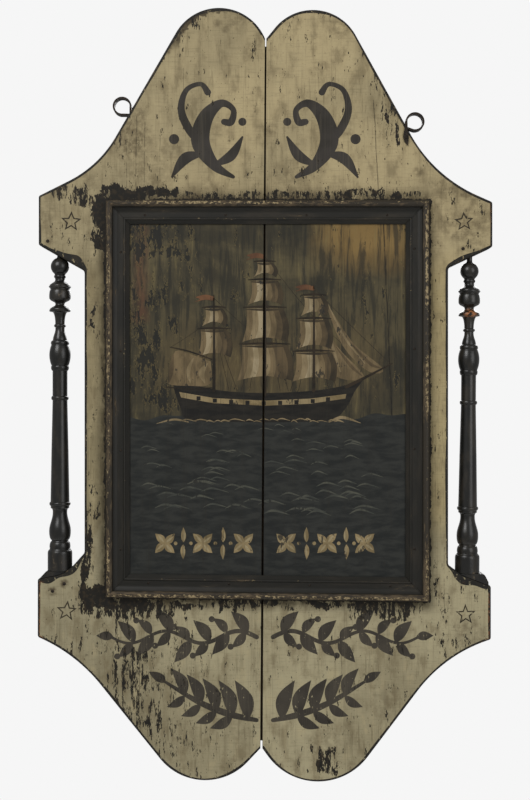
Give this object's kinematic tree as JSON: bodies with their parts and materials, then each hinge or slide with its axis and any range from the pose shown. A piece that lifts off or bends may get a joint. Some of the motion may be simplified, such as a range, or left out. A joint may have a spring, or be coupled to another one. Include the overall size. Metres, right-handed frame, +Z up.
{
  "type": "wooden hanging tavern sign",
  "caption": "Two-sided wooden hanging sign: two shaped planks with a moulded panel frame, turned columns between the ears, and forged hanging eyes.",
  "frame": {"origin": "middle of the whole sign, in all three directions", "axes": "+X to the right of the front, +Y to the back, +Z up"},
  "size_m": [0.893, 0.082, 1.5198],
  "materials": {
    "cream_painted_wood": "aged matt oil paint, cream with a black edge band, worn and flaked",
    "black_painted_wood": "worn satin black paint, brown wood on the rubbed edges",
    "wrought_iron": "hand-forged iron, dark and lightly rusted",
    "bare_wood": "unpainted pine"
  },
  "bodies": {
    "root": {"left_plank": "cream_painted_wood", "right_plank": "cream_painted_wood", "seam_tongue": "bare_wood", "front_frame_left": "black_painted_wood", "front_frame_bottom": "black_painted_wood", "front_frame_right": "black_painted_wood", "front_frame_top": "black_painted_wood", "back_frame_left": "black_painted_wood", "back_frame_bottom": "black_painted_wood", "back_frame_right": "black_painted_wood", "back_frame_top": "black_painted_wood", "left_column": "black_painted_wood", "right_column": "black_painted_wood", "left_plinth": "black_painted_wood", "right_plinth": "black_painted_wood", "left_hanger": "wrought_iron", "right_hanger": "wrought_iron", "hanger_nails": "wrought_iron", "front_frame_nails": "wrought_iron", "back_frame_nails": "wrought_iron", "ear_nails": "wrought_iron"}
  },
  "joints": []
}
